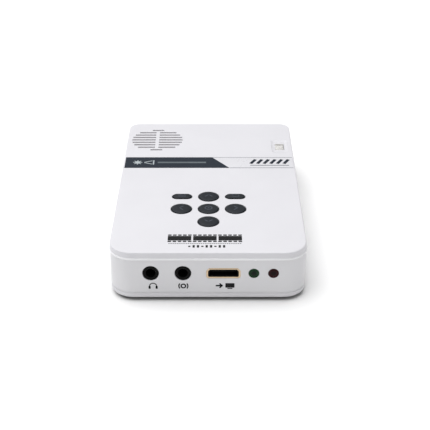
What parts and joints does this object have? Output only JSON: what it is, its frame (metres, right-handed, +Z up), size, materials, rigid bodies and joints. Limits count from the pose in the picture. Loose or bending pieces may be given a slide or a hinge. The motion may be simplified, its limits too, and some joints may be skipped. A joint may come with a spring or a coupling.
{
  "type": "pocket projector",
  "caption": "Flat hand-sized projector: rounded white case, round and pill-shaped keys, speaker grille, slide switch, side sockets, indicator lamps and a focusing lens at the far end.",
  "frame": {"origin": "under the middle of the whole object, on the plane that its feet stand on", "axes": "+Z up through the keys, -Y out of the socket panel, +Y out of the lens"},
  "size_m": [0.071, 0.1134, 0.0207],
  "materials": {
    "white_plastic": "satin white",
    "white_frame": "satin white",
    "stripe_print": "printed film, satin",
    "key_plastic": "fine matt",
    "black_plastic": "moulded black",
    "switch_white": "moulded off-white",
    "board_green": "solder mask",
    "gold_plate": "gold plated",
    "steel": "zinc plated",
    "brass": "turned",
    "copper": "bright copper",
    "aluminium": "die cast",
    "rubber": "matt",
    "battery_wrap": "foil wrap",
    "cloth": "woven",
    "paper_cone": "pressed paper",
    "green_lens": "tinted clear",
    "red_lens": "tinted clear",
    "glass": "coated",
    "lead_black": "insulated wire"
  },
  "bodies": {
    "case": {"av_jack": "black_plastic", "battery_lead": "lead_black", "battery_pack": "battery_wrap", "blower_cover": "black_plastic", "blower_housing": "black_plastic", "bottom_cover": "white_plastic", "card_socket": "steel", "case_screw_1": "steel", "case_screw_2": "steel", "case_screw_3": "steel", "case_screw_4": "steel", "dc_power_jack": "black_plastic", "engine_housing": "aluminium", "engine_lid": "aluminium", "foot_1": "rubber", "foot_2": "rubber", "foot_3": "rubber", "foot_4": "rubber", "green_indicator": "green_lens", "green_light_source": "copper", "grille_cloth": "cloth", "headphone_jack": "black_plastic", "heat_pipe": "copper", "heat_sink": "aluminium", "imager_chip": "black_plastic", "key_switch_back": "steel", "key_switch_down": "steel", "key_switch_left": "steel", "key_switch_menu": "steel", "key_switch_ok": "steel", "key_switch_right": "steel", "key_switch_up": "steel", "keypad_board": "board_green", "main_board": "board_green", "middle_frame": "white_frame", "power_switch_board": "board_green", "power_switch_body": "steel", "prism": "glass", "red_blue_light_source": "copper", "red_indicator": "red_lens", "speaker_basket": "black_plastic", "speaker_lead": "lead_black", "stripe_label": "stripe_print", "top_cover": "white_plastic", "tripod_insert": "brass", "video_socket_shell": "gold_plate", "video_socket_tongue": "black_plastic"},
    "menu_key": {"key_menu": "key_plastic"},
    "up_key": {"key_up": "key_plastic"},
    "back_key": {"key_back": "key_plastic"},
    "left_key": {"key_left": "key_plastic"},
    "ok_key": {"key_ok": "key_plastic"},
    "right_key": {"key_right": "key_plastic"},
    "down_key": {"key_down": "key_plastic"},
    "power_switch": {"power_switch_knob": "switch_white"},
    "impeller": {"blower_impeller": "black_plastic"},
    "speaker_diaphragm": {"speaker_cone": "paper_cone"},
    "focus_knurl": {"focus_ring": "black_plastic"},
    "projection_lens": {"lens_barrel": "black_plastic", "front_lens": "glass"}
  },
  "joints": [
    {"name": "menu_key_press", "type": "slide", "parent": "case", "child": "menu_key", "axis": [0, 0, -1], "range_m": [0, 0.0004], "stiffness_N_per_m": 1000, "springref_m": -0.001},
    {"name": "up_key_press", "type": "slide", "parent": "case", "child": "up_key", "axis": [0, 0, -1], "range_m": [0, 0.0004], "stiffness_N_per_m": 1000, "springref_m": -0.001},
    {"name": "back_key_press", "type": "slide", "parent": "case", "child": "back_key", "axis": [0, 0, -1], "range_m": [0, 0.0004], "stiffness_N_per_m": 1000, "springref_m": -0.001},
    {"name": "left_key_press", "type": "slide", "parent": "case", "child": "left_key", "axis": [0, 0, -1], "range_m": [0, 0.0004], "stiffness_N_per_m": 1000, "springref_m": -0.001},
    {"name": "ok_key_press", "type": "slide", "parent": "case", "child": "ok_key", "axis": [0, 0, -1], "range_m": [0, 0.0004], "stiffness_N_per_m": 1000, "springref_m": -0.001},
    {"name": "right_key_press", "type": "slide", "parent": "case", "child": "right_key", "axis": [0, 0, -1], "range_m": [0, 0.0004], "stiffness_N_per_m": 1000, "springref_m": -0.001},
    {"name": "down_key_press", "type": "slide", "parent": "case", "child": "down_key", "axis": [0, 0, -1], "range_m": [0, 0.0004], "stiffness_N_per_m": 1000, "springref_m": -0.001},
    {"name": "power_switch_slide", "type": "slide", "parent": "case", "child": "power_switch", "axis": [0, 1, 0], "range_m": [0, 0.002]},
    {"name": "blower_spin", "type": "hinge", "parent": "case", "child": "impeller", "pos_m": [-0.0153, 0.03225, 0.007], "axis": [0, 0, 1], "continuous": true},
    {"name": "speaker_cone_travel", "type": "slide", "parent": "case", "child": "speaker_diaphragm", "axis": [0, 0, 1], "range_m": [-0.00025, 0.00025], "stiffness_N_per_m": 1000},
    {"name": "focus_turn", "type": "hinge", "parent": "case", "child": "focus_knurl", "pos_m": [0.013, 0.05525, 0.0106], "axis": [0, 1, 0], "range_deg": [-90, 90]},
    {"name": "lens_focus_travel", "type": "slide", "parent": "case", "child": "projection_lens", "axis": [0, 1, 0], "range_m": [-0.001, 0.001]}
  ],
  "couplings": [
    {"joint": "focus_turn", "follows": "lens_focus_travel", "rad_per_m": 1570.7}
  ]
}
